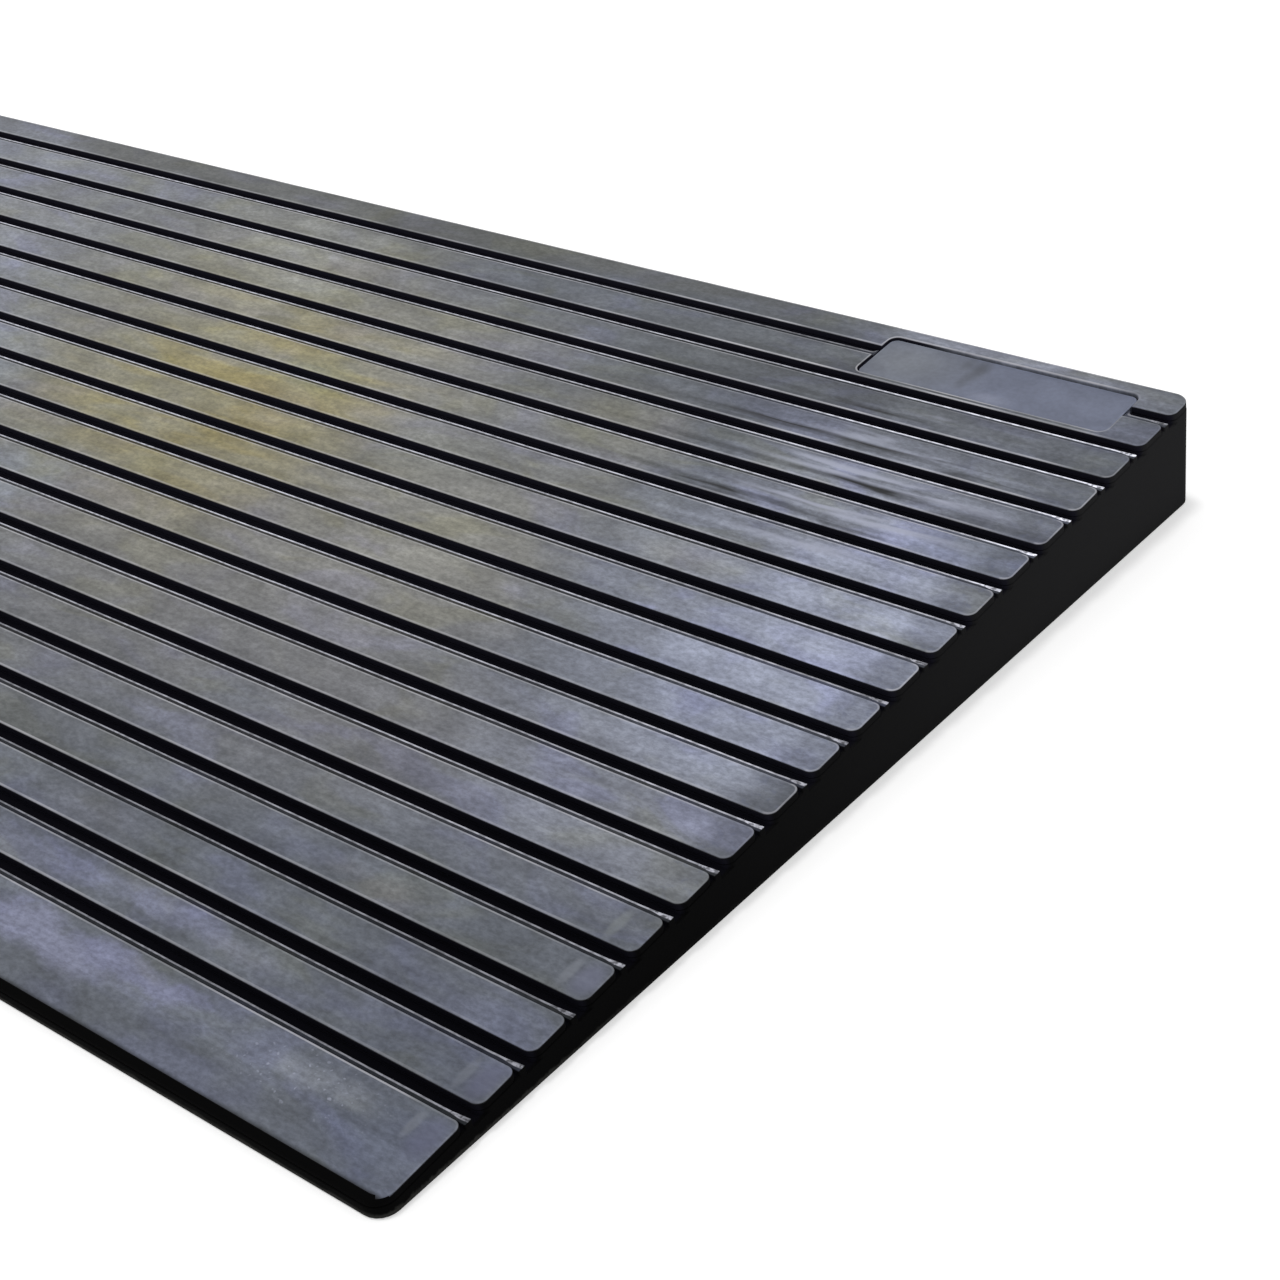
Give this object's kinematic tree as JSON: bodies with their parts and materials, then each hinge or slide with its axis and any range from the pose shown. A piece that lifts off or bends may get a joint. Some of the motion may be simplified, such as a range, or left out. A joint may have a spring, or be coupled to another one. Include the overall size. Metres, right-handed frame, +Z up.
{
  "type": "access ramp",
  "caption": "Low rubber wedge ramp for a doorway step, with flat tread strips seated across its slope, narrow drain grooves between them and a bare plate near one back corner.",
  "frame": {"origin": "on the floor, under the middle of the ramp's width and run", "axes": "+X across the direction of travel, to the right of someone going up; +Y up the slope towards the tall back face; +Z up"},
  "size_m": [0.9, 0.514, 0.0499],
  "materials": {
    "base": "matt moulded black rubber",
    "tread": "satin grey-black rubber with a dusty bloom",
    "plate": "smooth satin grey-blue rubber, bare"
  },
  "bodies": {
    "root": {"ramp_base": "base", "front_tread_strip": "tread", "tread_strip_02": "tread", "tread_strip_03": "tread", "tread_strip_04": "tread", "tread_strip_05": "tread", "tread_strip_06": "tread", "tread_strip_07": "tread", "tread_strip_08": "tread", "tread_strip_09": "tread", "tread_strip_10": "tread", "tread_strip_11": "tread", "tread_strip_12": "tread", "tread_strip_13": "tread", "tread_strip_14": "tread", "tread_strip_15": "tread", "tread_strip_16": "tread", "tread_strip_17": "tread", "tread_strip_18": "tread", "top_tread_strip": "tread", "label_plate": "plate"}
  },
  "joints": []
}
